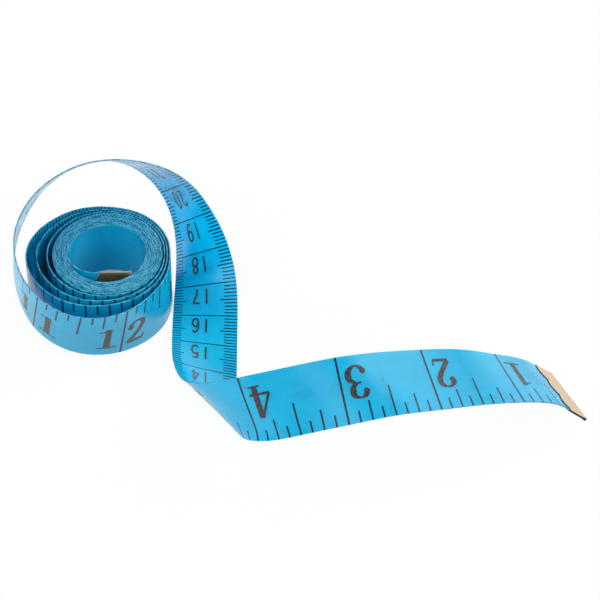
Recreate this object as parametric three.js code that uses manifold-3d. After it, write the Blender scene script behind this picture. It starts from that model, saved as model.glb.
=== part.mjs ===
// A cloth tape measure, loosely coiled. The coil stands on the lower edge of the tape. Its outermost turn
// leaves the coil on the left, rises in a loop over the back, comes down on the right of the coil, turns
// over in a soft fold and runs free to the right, in an arch that ends at the clip on the tape's free end.
// Sizes are millimetres and +Z is up.

import * as THREE from 'three';
import { mergeVertices } from 'three/addons/utils/BufferGeometryUtils.js';
import loadManifold from 'manifold-3d';

// Tape
const TAPE_WIDTH = 18;
const TAPE_THICKNESS = 0.42;

// Coil: the tight inner turns are one plain ring, and the outer turns wind loosely round it
const PACK_RADIUS = 13;
const PACK_DEPTH = 2.9;
const HOLE_RADIUS = PACK_RADIUS - PACK_DEPTH;
const LOOSE_TURNS = 3;
const TURN_GAP = 0.46;
const SWELL_ANGLE = THREE.MathUtils.degToRad(195);
const SWELL_INNERMOST = 2.2;
const SWELL_PER_TURN = 1.85;
const LOOP_ANGLE = THREE.MathUtils.degToRad(-5);

// Inner end of the tape: it leaves the wall of the hole and lies straight across the front of it
const INNER_LEAVE_ANGLE = THREE.MathUtils.degToRad(186);
const INNER_CHORD_INSET = 3.6;
const INNER_CHORD_START = -3.5;
const INNER_CHORD_END = 5.2;

// Metal clip folded over each end of the tape, with a toothed edge
const CLIP_LENGTH = 7.5;
const CLIP_SHEET = 0.35;
const CLIP_CLEARANCE = 0.2;
const CLIP_END_CLEARANCE = 0.75;
const CLIP_REACH = CLIP_END_CLEARANCE + CLIP_SHEET;
const CLIP_TEETH = 3;
const CLIP_TOOTH_DEPTH = 0.9;

// Clear space between neighbouring pieces, and places along the tape from its free end: where the loop begins,
// where the fold opens, and where the free run bends, at its lines for three, two and one inches
const JOINT_GAP = 0.3;
const FOLD_GAP = 0.6;
const LYING_PLACE = 150;
const FOLD_PLACE = 116;
const RUN_BEND_PLACES = [71.7, 47.1, 22.6];

// Fineness of the solids
const STRIP_STEP = 3;
const STEPS_PER_TURN = 48;
const RING_SIDES = 72;
const LENGTH_SAMPLES = 4000;

// Free part of the tape from its free end to the coil, measured from the coil's axis on the floor: each line
// is one place on the ticked edge and the place facing it on the plain edge, for a tape of ROUTE_WIDTH
const ROUTE_WIDTH = 18;
const ROUTE = [
  [[124.5, -43.9, 3], [116.3, -27.9, 1.6]],
  [[119, -45.9, 10], [110.8, -29.9, 8.6]],
  [[108.5, -50.2, 17.2], [101, -33.7, 16.4]],
  [[98, -54.2, 21.3], [92, -37.5, 23]],
  [[87.5, -58.7, 24.9], [82, -41.8, 28]],
  [[76, -62.5, 27.5], [71, -46, 32.1]],
  [[64.5, -65.5, 27.5], [60, -50.2, 35.2]],
  [[56.5, -65.5, 24.8], [49, -52, 34]],
  [[49, -64.5, 21], [37.5, -51.5, 29.6]],
  [[45.5, -63.5, 18.7], [27.5, -47.3, 21.4]],
  [[43, -62.8, 17.2], [22.5, -42.5, 15.7]],
  [[39.3, -60.9, 14.9], [19.9, -36.9, 10.9]],
  [[36, -56.5, 10.7], [18.5, -32, 8.3]],
  [[34.4, -50.2, 6.5], [17.9, -28.8, 6.5]],
  [[34.1, -41, 3], [17.4, -26.2, 5.5]],
  [[34.1, -31.5, 1], [17.1, -23.5, 4.5]],
  [[34.1, -18.5, 0.5], [16.8, -16.5, 2.5]],
  [[34.1, -8, 1.5], [16.8, -7.5, 1]],
  [[33.7, 1.5, 5], [17.1, 2, 0.5]],
  [[31.5, 9, 11], [17.3, 12, 1]],
  [[27, 15, 18], [16.5, 21.5, 5]],
  [[21, 19.5, 24.5], [13, 28, 11]],
  [[8, 20, 32], [2, 31.5, 19.5]],
  [[-6, 16.5, 35], [-12, 26.5, 21.5]],
  [[-18, 8, 34], [-21.5, 15.5, 18.5]],
  [[-24, -4.5, 30], [-25.5, 2, 13]],
  [[-22.5, -13.5, 26.5], [-24, -7.5, 9.5]],
  [[-17, -20.5, 23.5], [-19.5, -16, 6.5]],
  [[-8.5, -24.5, 21], [-11.5, -21, 3.7]],
  [[6, -21, 19], [3.2, -20, 1.2]],
  [[11, -15.8, 18.5], [9.6, -15.8, 0.5]],
  [[15, -9.5, 18.2], [14.4, -10, 0.2]],
];

const wasm = await loadManifold();
wasm.setup();

const TAPE_BLUE = new THREE.MeshStandardMaterial({ color: 0x149fdb, roughness: 0.38, metalness: 0 });
const PALE_METAL = new THREE.MeshStandardMaterial({ color: 0xe2cdb0, roughness: 0.3, metalness: 0.9 });
const DULL_BRASS = new THREE.MeshStandardMaterial({ color: 0x8f8556, roughness: 0.4, metalness: 0.9 });

// Each place along the tape is a ruling: a straight line across it, from its plain edge to its ticked edge
function middle(ruling) {
  return ruling.plain.clone().lerp(ruling.ticked, 0.5);
}

// A ruling where the tape stands upright on its plain edge
function uprightRuling(x, y) {
  return {
    plain: new THREE.Vector3(x, y, 0),
    ticked: new THREE.Vector3(x, y, TAPE_WIDTH),
  };
}

// Closed strip of tape through a list of rulings, with four corners at each of them
function stripGeometry(rulings) {
  const corners = rulings.flatMap((ruling, i) => {
    const before = rulings[Math.max(i - 1, 0)];
    const after = rulings[Math.min(i + 1, rulings.length - 1)];
    const along = middle(after).sub(middle(before));
    const across = ruling.ticked.clone().sub(ruling.plain);
    const lift = along.cross(across).setLength(TAPE_THICKNESS / 2);
    return [
      ruling.ticked.clone().add(lift),
      ruling.plain.clone().add(lift),
      ruling.plain.clone().sub(lift),
      ruling.ticked.clone().sub(lift),
    ];
  });
  const faces = [];
  const last = corners.length - 4;
  for (let ring = 0; ring < last; ring += 4) {
    for (let side = 0; side < 4; side += 1) {
      const here = ring + side;
      const beside = ring + ((side + 1) % 4);
      faces.push(here, beside, here + 4, beside, beside + 4, here + 4);
    }
  }
  faces.push(0, 2, 1, 0, 3, 2);
  faces.push(last, last + 1, last + 2, last, last + 2, last + 3);
  const geometry = new THREE.BufferGeometry().setFromPoints(corners);
  geometry.setIndex(faces);
  return geometry;
}

// Loose turns: place on the tape after winding inwards by an angle from the end of the loop
function looseRuling(wound) {
  const angle = LOOP_ANGLE + wound;
  const turnsOut = LOOSE_TURNS - wound / (2 * Math.PI);
  const swell = ((1 + Math.cos(angle - SWELL_ANGLE)) / 2) ** 2;
  const innermost = PACK_RADIUS + JOINT_GAP + TAPE_THICKNESS / 2;
  const radius = innermost + turnsOut * (TAPE_THICKNESS + TURN_GAP)
    + swell * (SWELL_INNERMOST + turnsOut * SWELL_PER_TURN);
  return uprightRuling(radius * Math.cos(angle), radius * Math.sin(angle));
}

// Least clear space between one turn and the next, measured on points of the middle line
function leastTurnGap(rulings) {
  let least = Infinity;
  rulings.forEach((ruling, i) => {
    for (let j = i + STEPS_PER_TURN / 2; j < rulings.length; j += 1) {
      least = Math.min(least, ruling.plain.distanceTo(rulings[j].plain));
    }
  });
  return least - TAPE_THICKNESS;
}

// Free part of the tape: rulings by their distance from the free end along the middle of the tape
function freeRoute() {
  const widen = TAPE_WIDTH / ROUTE_WIDTH;
  const stations = ROUTE.map(([ticked, plain]) => {
    const low = new THREE.Vector3(...plain);
    const high = new THREE.Vector3(...ticked);
    return { plain: low, ticked: high.sub(low).multiplyScalar(widen).add(low) };
  });
  const coilStep = 2 * Math.PI / STEPS_PER_TURN;
  stations.push(looseRuling(0), looseRuling(2 * coilStep));
  const segments = stations.length - 1;
  const tickedEdge = new THREE.CatmullRomCurve3(stations.map((station) => station.ticked));
  const plainEdge = new THREE.CatmullRomCurve3(stations.map((station) => station.plain));
  // The end inside the clip is flat, so the first stretch joins its two stations by straight lines
  const rulingAtShare = (share) => {
    if (share * segments < 1) {
      const [tip, next] = stations;
      return {
        ticked: tip.ticked.clone().lerp(next.ticked, share * segments),
        plain: tip.plain.clone().lerp(next.plain, share * segments),
      };
    }
    return { ticked: tickedEdge.getPoint(share), plain: plainEdge.getPoint(share) };
  };
  const endShare = (segments - 1) / segments;
  const lengths = [0];
  for (let i = 1; i <= LENGTH_SAMPLES; i += 1) {
    const from = middle(rulingAtShare((endShare * (i - 1)) / LENGTH_SAMPLES));
    const to = middle(rulingAtShare((endShare * i) / LENGTH_SAMPLES));
    lengths.push(lengths[i - 1] + from.distanceTo(to));
  }
  const rulingAt = (distance) => {
    let i = 1;
    while (i < LENGTH_SAMPLES && lengths[i] < distance) {
      i += 1;
    }
    const within = (distance - lengths[i - 1]) / (lengths[i] - lengths[i - 1]);
    return rulingAtShare((endShare * (i - 1 + within)) / LENGTH_SAMPLES);
  };
  return { rulingAt, length: lengths[LENGTH_SAMPLES] };
}

// Stretch of the free part between two distances from the free end
function stretchGeometry(route, from, to) {
  const steps = Math.ceil((to - from) / STRIP_STEP);
  const rulings = [];
  for (let i = 0; i <= steps; i += 1) {
    rulings.push(route.rulingAt(from + ((to - from) * i) / steps));
  }
  return stripGeometry(rulings);
}

function solidOf(geometry) {
  geometry.deleteAttribute('normal');
  geometry.deleteAttribute('uv');
  const merged = mergeVertices(geometry.index ? geometry.toNonIndexed() : geometry);
  const vertProperties = Float32Array.from(merged.attributes.position.array);
  const triVerts = Uint32Array.from(merged.index.array);
  return new wasm.Manifold(new wasm.Mesh({ numProp: 3, vertProperties, triVerts }));
}

function geometryOf(solid) {
  const { vertProperties, triVerts } = solid.getMesh();
  const geometry = new THREE.BufferGeometry();
  geometry.setAttribute('position', new THREE.BufferAttribute(Float32Array.from(vertProperties), 3));
  geometry.setIndex(Array.from(triVerts));
  return geometry;
}

// One plate of a clip, flat on z = 0 and up: its toothed edge lies on the tape, towards -x
function clipPlate() {
  const half = TAPE_WIDTH / 2;
  const pitch = TAPE_WIDTH / CLIP_TEETH;
  const outline = new THREE.Shape();
  outline.moveTo(CLIP_REACH, -half);
  outline.lineTo(CLIP_REACH, half);
  for (let tooth = 0; tooth < CLIP_TEETH; tooth += 1) {
    const side = half - tooth * pitch;
    outline.lineTo(-CLIP_LENGTH + CLIP_TOOTH_DEPTH, side);
    outline.lineTo(-CLIP_LENGTH, side - pitch / 2);
  }
  outline.lineTo(-CLIP_LENGTH + CLIP_TOOTH_DEPTH, -half);
  outline.closePath();
  return new THREE.ExtrudeGeometry(outline, { depth: CLIP_SHEET, bevelEnabled: false });
}

// Clip: two toothed plates joined round the end of the tape. The tape's end is at x = 0, its width along y
function clipGeometry() {
  const slot = TAPE_THICKNESS / 2 + CLIP_CLEARANCE;
  const upper = clipPlate().translate(0, 0, slot);
  const lower = clipPlate().translate(0, 0, -slot - CLIP_SHEET);
  const back = new THREE.BoxGeometry(CLIP_SHEET, TAPE_WIDTH, 2 * (slot + CLIP_SHEET));
  back.translate(CLIP_REACH - CLIP_SHEET / 2, 0, 0);
  return geometryOf(solidOf(upper).add(solidOf(lower)).add(solidOf(back)));
}

// Clip set on the tape where it ends, pointing from one ruling to the ruling at the end
function clipMesh(name, material, before, end) {
  const along = middle(end).sub(middle(before)).normalize();
  const across = end.ticked.clone().sub(end.plain).normalize();
  const face = new THREE.Vector3().crossVectors(along, across).normalize();
  const side = new THREE.Vector3().crossVectors(face, along);
  const placed = new THREE.Matrix4().makeBasis(along, side, face).setPosition(middle(end));
  return namedMesh(name, clipGeometry().applyMatrix4(placed), material);
}

function namedMesh(name, geometry, material) {
  const mesh = new THREE.Mesh(geometry, material);
  mesh.name = name;
  return mesh;
}

// Tight inner turns, as one plain ring that stands on the floor
function woundPack() {
  const profile = [
    new THREE.Vector2(HOLE_RADIUS, 0),
    new THREE.Vector2(PACK_RADIUS, 0),
    new THREE.Vector2(PACK_RADIUS, TAPE_WIDTH),
    new THREE.Vector2(HOLE_RADIUS, TAPE_WIDTH),
    new THREE.Vector2(HOLE_RADIUS, 0),
  ];
  const ring = new THREE.LatheGeometry(profile, RING_SIDES).rotateX(Math.PI / 2);
  return namedMesh('wound_pack', ring, TAPE_BLUE);
}

function looseTurns() {
  const startAngle = JOINT_GAP / 2 / middle(looseRuling(0)).setZ(0).length();
  const winding = LOOSE_TURNS * 2 * Math.PI - startAngle;
  const steps = LOOSE_TURNS * STEPS_PER_TURN;
  const rulings = [];
  for (let i = 0; i <= steps; i += 1) {
    rulings.push(looseRuling(startAngle + (winding * i) / steps));
  }
  console.log(`loose_turns: least gap between turns ${leastTurnGap(rulings).toFixed(2)} mm`);
  return namedMesh('loose_turns', stripGeometry(rulings), TAPE_BLUE);
}

// Inner end: a strip that leaves the wall of the hole on the left and lies straight across the front
function innerEnd() {
  const wallRadius = HOLE_RADIUS - JOINT_GAP - TAPE_THICKNESS / 2;
  const chord = -(HOLE_RADIUS - INNER_CHORD_INSET);
  const wallStep = THREE.MathUtils.degToRad(12);
  const onWall = (angle) => new THREE.Vector3(wallRadius * Math.cos(angle), wallRadius * Math.sin(angle), 0);
  const bend = new THREE.CatmullRomCurve3([
    onWall(INNER_LEAVE_ANGLE - wallStep),
    onWall(INNER_LEAVE_ANGLE),
    onWall(INNER_LEAVE_ANGLE + 2 * wallStep),
    new THREE.Vector3(INNER_CHORD_START, chord, 0),
    new THREE.Vector3(INNER_CHORD_END, chord, 0),
  ]);
  const bendSteps = 12;
  const bendPoints = bend.getPoints(bendSteps).filter((point) => point.x < INNER_CHORD_START);
  const clipStart = new THREE.Vector3(INNER_CHORD_START, chord, 0);
  const end = new THREE.Vector3(INNER_CHORD_END, chord, 0);
  const rulings = [...bendPoints, clipStart, end].map((point) => uprightRuling(point.x, point.y));
  const strip = namedMesh('inner_end', stripGeometry(rulings), TAPE_BLUE);
  const clip = clipMesh('inner_end_clip', DULL_BRASS, rulings[rulings.length - 2], rulings[rulings.length - 1]);
  return [strip, clip];
}

// Free part of the tape: the loop, the lying stretch up to the fold, and the run in links between its bends
function freePart() {
  const route = freeRoute();
  const cuts = [
    { place: route.length, gap: JOINT_GAP },
    { place: LYING_PLACE, gap: JOINT_GAP },
    { place: FOLD_PLACE, gap: FOLD_GAP },
    ...RUN_BEND_PLACES.map((place) => ({ place, gap: JOINT_GAP })),
    { place: 0, gap: 0 },
  ];
  const names = ['rising_loop', 'lying_stretch', 'run_base', 'run_middle', 'run_outer', 'run_end'];
  const strips = names.map((name, i) => {
    const far = cuts[i].place - cuts[i].gap / 2;
    const near = cuts[i + 1].place + cuts[i + 1].gap / 2;
    return namedMesh(name, stretchGeometry(route, near, far), TAPE_BLUE);
  });
  const clip = clipMesh('free_end_clip', PALE_METAL, route.rulingAt(CLIP_LENGTH), route.rulingAt(0));
  return [...strips, clip];
}

// Origin: the middle of the part's outline on the floor
function assemble() {
  const part = new THREE.Group();
  part.add(woundPack(), looseTurns(), ...innerEnd(), ...freePart());
  const box = new THREE.Box3().setFromObject(part, true);
  const centre = box.getCenter(new THREE.Vector3());
  part.position.set(-centre.x, -centre.y, -box.min.z);
  part.updateMatrixWorld(true);
  return part;
}

export default assemble();
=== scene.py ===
"""A cloth tape measure: one printed strip, loosely coiled, with a folded metal clip on each end.

The strip is worked out once, as a row of straight rulings from its plain edge to its ticked edge, and then
cut into the stretches that move with the bodies of the CAD part. Places are metres in that part's frame.
"""

from __future__ import annotations

import logging
from dataclasses import dataclass, field, replace
from enum import Enum

import bpy
import numpy as np
from mathutils import Matrix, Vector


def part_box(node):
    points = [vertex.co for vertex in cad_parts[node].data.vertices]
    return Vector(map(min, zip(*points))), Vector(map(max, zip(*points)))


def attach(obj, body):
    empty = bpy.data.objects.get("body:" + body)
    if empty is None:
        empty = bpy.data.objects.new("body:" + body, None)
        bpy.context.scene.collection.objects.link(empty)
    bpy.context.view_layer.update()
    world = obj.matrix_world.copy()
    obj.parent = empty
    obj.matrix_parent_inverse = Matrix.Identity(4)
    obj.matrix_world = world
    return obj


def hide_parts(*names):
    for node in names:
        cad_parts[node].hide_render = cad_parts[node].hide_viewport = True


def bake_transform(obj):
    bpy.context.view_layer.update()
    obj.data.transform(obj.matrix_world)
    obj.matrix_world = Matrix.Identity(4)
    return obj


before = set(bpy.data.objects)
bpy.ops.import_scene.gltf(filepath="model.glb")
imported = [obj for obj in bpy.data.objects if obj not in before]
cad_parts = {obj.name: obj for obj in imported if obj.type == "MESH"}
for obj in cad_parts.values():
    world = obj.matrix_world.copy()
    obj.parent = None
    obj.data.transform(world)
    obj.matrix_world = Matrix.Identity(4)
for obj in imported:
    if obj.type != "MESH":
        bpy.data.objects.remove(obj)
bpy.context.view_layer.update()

LOG = logging.getLogger("tape_measure")
MM = 0.001
FULL_TURN = 2 * np.pi
SHORTEST = 1e-12
Array = np.ndarray
Material = bpy.types.Material
Piece = bpy.types.Object
Socket = bpy.types.NodeSocket
Place = tuple[float, float, float]
Colour = tuple[float, float, float]


def srgb(red: float, green: float, blue: float) -> Colour:
    """Linear colour of a screen colour.

    Args:
        red, green, blue: channels from 0 to 255.

    Returns:
        The three channels from 0 to 1, by the usual 2.4 power with its straight toe.
    """
    share = np.array([red, green, blue]) / 255
    linear = np.where(share <= 0.04045, share / 12.92, ((share + 0.055) / 1.055) ** 2.4)
    return tuple(float(channel) for channel in linear)


def smooth_step(value: Array) -> Array:
    """Three squares less two cubes of the value clipped to 0 and 1."""
    clipped = np.clip(value, 0, 1)
    return clipped * clipped * (3 - 2 * clipped)


def unit(vectors: Array) -> Array:
    """Vectors divided by their lengths, along the last axis."""
    return vectors / np.maximum(np.linalg.norm(vectors, axis=-1, keepdims=True), SHORTEST)


def steps_between(points: Array) -> Array:
    """Distance from each row of points to the next."""
    return np.linalg.norm(np.diff(points, axis=0), axis=-1)


def middle_length(rulings: Array) -> float:
    """Length along the middles of a row of rulings."""
    return float(steps_between(rulings.mean(axis=1)).sum())


def node_middle(node: str) -> tuple[float, float]:
    """Middle of a CAD node's box, seen from above."""
    low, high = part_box(node)
    return (low.x + high.x) / 2, (low.y + high.y) / 2


def curve_through(points: Array, steps: int, closed: bool = False) -> Array:
    """Catmull-Rom curve: each span is the cubic that keeps the slope of its neighbours at both ends.

    Args:
        points: control points, one a row.
        steps: places on each span.
        closed: whether the last point joins the first.

    Returns:
        The places along the curve, one a row.
    """
    if closed:
        around = np.vstack([points[-1:], points, points[:2]])
    else:
        around = np.vstack([2 * points[:1] - points[1:2], points, 2 * points[-1:] - points[-2:-1]])
    a, b, c, d = (around[i:len(around) - 3 + i, None, :] for i in range(4))
    u = np.linspace(0, 1, steps, endpoint=False)[None, :, None]
    spans = 0.5 * (2 * b + (c - a) * u + (2 * a - 5 * b + 4 * c - d) * u**2 + (3 * b - a - 3 * c + d) * u**3)
    return np.vstack([spans.reshape(-1, points.shape[1]), around[-2:-1]])


class Side(Enum):
    """Printed side of the strip: the sign of its outward direction."""

    INCH = 1
    CENTIMETRE = -1


@dataclass(frozen=True)
class TapeSize:
    """Real sizes of the strip."""

    width: float = 18 * MM
    thickness: float = 0.35 * MM
    length: float = 1550 * MM  # the scale's 60 inches and a blank end
    inch: float = 25.4 * MM
    centimetre: float = 10 * MM
    scale_start: float = 1.1 * MM  # the scale starts this far beyond the strip, at the clip's outer face


TAPE = TapeSize()


@dataclass
class RuledStrip:
    """Rulings along the strip, from its plain to its ticked edge, each with its place on the flat strip."""

    plain: Array
    ticked: Array
    plain_run: Array
    ticked_run: Array
    slant_rounds: int = 24  # tries that settle the ruling through a point

    @property
    def middle_run(self) -> Array:
        """Length along the middle of the strip at each ruling."""
        return (self.plain_run + self.ticked_run) / 2

    def at(self, runs: Array) -> RuledStrip:
        """Rulings at given lengths along the middle, straight between the nearest two.

        Args:
            runs: lengths from the free end.

        Returns:
            A strip of those rulings.
        """
        known = self.middle_run
        columns = np.column_stack([self.plain, self.ticked, self.plain_run, self.ticked_run]).T
        found = np.stack([np.interp(runs, known, column) for column in columns], axis=1)
        return RuledStrip(found[:, :3], found[:, 3:6], found[:, 6], found[:, 7])

    def middle(self, run: float) -> Place:
        """Place on the middle of the strip at one length."""
        one = self.at(np.array([run]))
        return tuple(float(value) for value in (one.plain[0] + one.ticked[0]) / 2)

    def directions(self, runs: Array, across: Array) -> Array:
        """Outward direction of the inch side.

        It is the cross product of the slope along the strip and the ruling. The slope is the difference of
        two places half a millimetre either side, mixed from both edges by the share across.

        Args:
            runs: lengths along the middle, any shape.
            across: share of the width from the plain edge, the same shape.

        Returns:
            Unit vectors, with one more axis than the arguments.
        """
        half = 0.5 * MM
        after = self.at(np.clip(runs.ravel() + half, 0, self.middle_run[-1]))
        before = self.at(np.clip(runs.ravel() - half, 0, self.middle_run[-1]))
        here = self.at(runs.ravel())
        share = across.ravel()[:, None]
        along = (1 - share) * (after.plain - before.plain) + share * (after.ticked - before.ticked)
        return unit(np.cross(along, here.ticked - here.plain)).reshape(*runs.shape, 3)

    def place(self, run: Array, across: Array, rise: float) -> Array:
        """Places in space of points of the flat strip.

        The ruling through a point is found by taking the slant of the nearest ruling away from the point's
        length, again and again until it stays.

        Args:
            run: lengths of the points on the flat strip.
            across: their share of the width from the plain edge.
            rise: height over the middle of the strip, towards the inch side.

        Returns:
            The places, one a row.
        """
        middle, slant = self.middle_run, self.ticked_run - self.plain_run
        ruling = run
        for _ in range(self.slant_rounds):
            ruling = run - (across - 0.5) * np.interp(ruling, middle, slant)
        here = self.at(ruling)
        share = across[:, None]
        points = (1 - share) * here.plain + share * here.ticked
        return points + rise * self.directions(ruling, across)


@dataclass
class TapeRoute:
    """The whole strip as it lies: free run, fold, loop, loose turns, tight turns and inner end."""

    centre: tuple[float, float]
    step: float = 0.5 * MM
    stiffness: float = 15.0  # how much bending weighs against keeping to the stations, in cubic millimetres
    firm: float = 60.0  # weight of a station that the strip keeps to closely
    clip_depth: float = 8 * MM
    loose_turns: float = 3.0
    loop_angle: float = np.radians(-5)
    joined_angle: float = np.radians(25)  # the free part's curve goes this far into the loose turns
    joined_stations: int = 9
    tight_radius: float = 14.2 * MM
    turn_pitch: float = 0.7 * MM
    least_swell: float = 0.78 * MM
    turn_swell: float = 2.15 * MM
    swell_shares: tuple[float, ...] = (0, 0, 0.04, 0.44, 0.96, 0.8, 0.45, 0.2)  # at eighths of a turn
    swell_steps: int = 24
    tight_winding: float = 11 * FULL_TURN + np.radians(195)
    first_pitch: float = 0.45 * MM  # the tight turns' pitch is settled from here
    pitch_rounds: int = 6
    uneven_lift: float = 0.26 * MM  # middle height of the tight turns' plain edges over the floor
    uneven_waves: tuple[Place, ...] = ((0.16, 0.83, 0.9), (0.08, 2.3, 0))  # millimetres, rate and phase
    chord: float = -7.1 * MM
    chord_start: float = -3.0 * MM
    chord_end: float = 5.5 * MM
    end_steps: int = 24
    end_lift: float = 0.25 * MM  # the inner clip's edge holds the strip's end off the floor
    square_from: float = 145 * MM  # the slant of the rulings fades from here
    square_over: float = 45 * MM
    # Millimetres: a place, and how far the print is ahead of the drawn length on the plain and ticked edge.
    scale_gain: tuple[Place, ...] = (
        (0, 0.2, 0), (25, 2.2, 1.4), (75, 4, 2.9), (100, 2.6, 2.2),
        (140, 2.5, 1.1), (180, 1.7, 1.7), (280, 2, 2),
    )
    stations: tuple = (  # millimetres from the coil's axis: ticked edge, plain edge
        ((124.5, -43.9, 3), (116.3, -27.9, 1.6)),
        ((119, -45.9, 10), (110.8, -29.9, 8.6)),
        ((108.5, -50.2, 17.2), (101, -33.7, 16.4)),
        ((98, -54.2, 21.3), (92, -37.5, 23)),
        ((87.5, -58.7, 24.9), (82, -41.8, 28)),
        ((76, -62.5, 27.5), (71, -46, 32.1)),
        ((64.5, -65.5, 27.5), (60, -50.2, 35.2)),
        ((56.5, -65.5, 24.8), (49, -52, 34)),
        ((49, -64.5, 21), (37.5, -51.5, 29.6)),
        ((45.5, -63.5, 18.7), (27.5, -47.3, 21.4)),
        ((43, -62.8, 17.2), (22.5, -42.5, 15.7)),
        ((39.3, -60.9, 14.9), (19.9, -36.9, 10.9)),
        ((36, -56.5, 10.7), (18.5, -32, 8.3)),
        ((34.4, -50.2, 6.5), (17.9, -28.8, 6.5)),
        ((34.1, -41, 3), (17.4, -26.2, 5.5)),
        ((34.1, -31.5, 1), (17.1, -23.5, 4.5)),
        ((34.1, -18.5, 0.5), (16.8, -16.5, 2.5)),
        ((34.1, -8, 1.5), (16.8, -7.5, 1)),
        ((33.7, 1.5, 5), (17.1, 2, 0.5)),
        ((31.5, 9, 11), (17.3, 12, 1)),
        ((27, 15, 18), (16.5, 21.5, 5)),
        ((21, 19.5, 24.5), (13, 28, 11)),
        ((8, 20, 32), (2, 31.5, 19.5)),
        ((-6, 16.5, 35), (-12, 26.5, 21.5)),
        ((-18, 8, 34), (-21.5, 15.5, 18.5)),
        ((-24, -4.5, 30), (-25.5, 2, 13)),
        ((-22.5, -13.5, 26.5), (-24, -7.5, 9.5)),
        ((-17, -20.5, 23.5), (-19.5, -16, 6.5)),
        ((-8.5, -24.5, 21), (-11.5, -21, 3.7)),
        ((6, -21, 19), (3.2, -20, 1.2)),
        ((11, -15.8, 18.5), (9.6, -15.8, 0.5)),
        ((15, -9.5, 18.2), (14.4, -10, 0.2)),
    )

    def swell(self, angle: Array) -> Array:
        """Share of the swell on the coil's left: a closed curve through its shares at eighths of a turn.

        Args:
            angle: angles round the coil's axis.

        Returns:
            The share at each angle.
        """
        closed = curve_through(np.array(self.swell_shares)[:, None], self.swell_steps, closed=True)[:, 0]
        angles = np.linspace(0, FULL_TURN, len(closed))
        return np.clip(np.interp(angle % FULL_TURN, angles, closed), 0, 1)

    def loose_radius(self, wound: Array) -> Array:
        """Radius of the loose turns after winding inwards from the end of the loop.

        It is the tight radius, plus a pitch for each turn still to go, plus the swell, which grows with each
        turn outwards.

        Args:
            wound: angles from the end of the loop.

        Returns:
            The radius at each angle.
        """
        turns_out = self.loose_turns - wound / FULL_TURN
        return (self.tight_radius + turns_out * self.turn_pitch
                + self.swell(self.loop_angle + wound) * (self.least_swell + turns_out * self.turn_swell))

    def upright(self, angle: Array, radius: Array, lift: Array | float = 0.0) -> Array:
        """Rulings that stand on the plain edge, at polar places round the coil's axis.

        Args:
            angle, radius: polar places.
            lift: height of the plain edge over the floor.

        Returns:
            An array of rulings by edge, plain then ticked, by axis.
        """
        x, y = radius * np.cos(angle), radius * np.sin(angle)
        low = np.zeros_like(x) + lift
        return np.stack([np.stack([x, y, low], 1), np.stack([x, y, low + TAPE.width], 1)], axis=1)

    def free_part(self) -> Array:
        """Rulings from the free end into the first of the loose turns.

        Both edges are the curves for which the weighted squared distance to the stations plus the stiffness
        times the squared bending is least. The end inside the clip and the first of the turns weigh most.

        Returns:
            An array of rulings by edge, plain then ticked, by axis.
        """
        known = np.array(self.stations)[:, ::-1] * MM
        share = np.array([1 / 3, 2 / 3])[:, None, None]
        in_clip = known[0] + share * (known[1] - known[0])
        turn_angles = np.linspace(0, self.joined_angle * 2, self.joined_stations)
        turn = self.upright(self.loop_angle + turn_angles, self.loose_radius(turn_angles))
        known = np.concatenate([known[:1], in_clip, known[1:], turn])
        weights = np.ones(len(known))
        weights[:len(in_clip) + 2] = self.firm
        weights[-len(turn):] = self.firm
        places = np.concatenate([[0], np.cumsum(steps_between(known.mean(axis=1)))])
        count = int(places[-1] / self.step) + 2
        index = np.minimum((places / self.step).astype(int), count - 2)
        beyond = places / self.step - index
        rows = np.arange(len(known))
        picks = np.zeros((len(known), count))
        picks[rows, index] = 1 - beyond
        picks[rows, index + 1] = beyond
        bending = np.diff(np.eye(count), 2, axis=0)
        cost = self.stiffness * MM**3 / self.step**3
        left = picks.T @ (weights[:, None] * picks) + cost * bending.T @ bending
        right = picks.T @ (weights[:, None] * known.reshape(len(known), 6))
        edges = np.linalg.solve(left, right).reshape(count, 2, 3)
        edges[:, :, 2] = np.maximum(edges[:, :, 2], TAPE.thickness / 2)
        joined = places[-len(turn) // 2]
        return edges[np.arange(count) * self.step < joined]

    def inner_end(self, angle: float, outer: float, pitch: float) -> Array:
        """Rulings of the inner end: a cubic from the wall of the hole, then a straight chord across it.

        The cubic leaves along the wall and comes onto the chord in line with it. At both ends its slope is
        as long as the distance between them.

        Args:
            angle: angle at which the strip leaves the wall.
            outer: radius of the tight turns' outside at that angle.
            pitch: pitch of the tight turns.

        Returns:
            An array of rulings by edge, plain then ticked, by axis.
        """
        radius = outer - pitch * self.tight_winding / FULL_TURN
        wall = radius * np.array([np.cos(angle), np.sin(angle)])
        heading = np.array([-np.sin(angle), np.cos(angle)])
        onto = np.array([self.chord_start, self.chord])
        pull = np.linalg.norm(onto - wall)
        u = np.linspace(0, 1, self.end_steps)[1:, None]
        bend = ((2 * u**3 - 3 * u**2 + 1) * wall + (u**3 - 2 * u**2 + u) * pull * heading
                + (3 * u**2 - 2 * u**3) * onto + (u**3 - u**2) * pull * np.array([1, 0]))
        straight = onto + u * np.array([self.chord_end - self.chord_start, 0])
        x, y = np.concatenate([bend, straight]).T
        return self.upright(np.arctan2(y, x), np.hypot(x, y), np.linspace(0, self.end_lift, len(x)))

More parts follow.
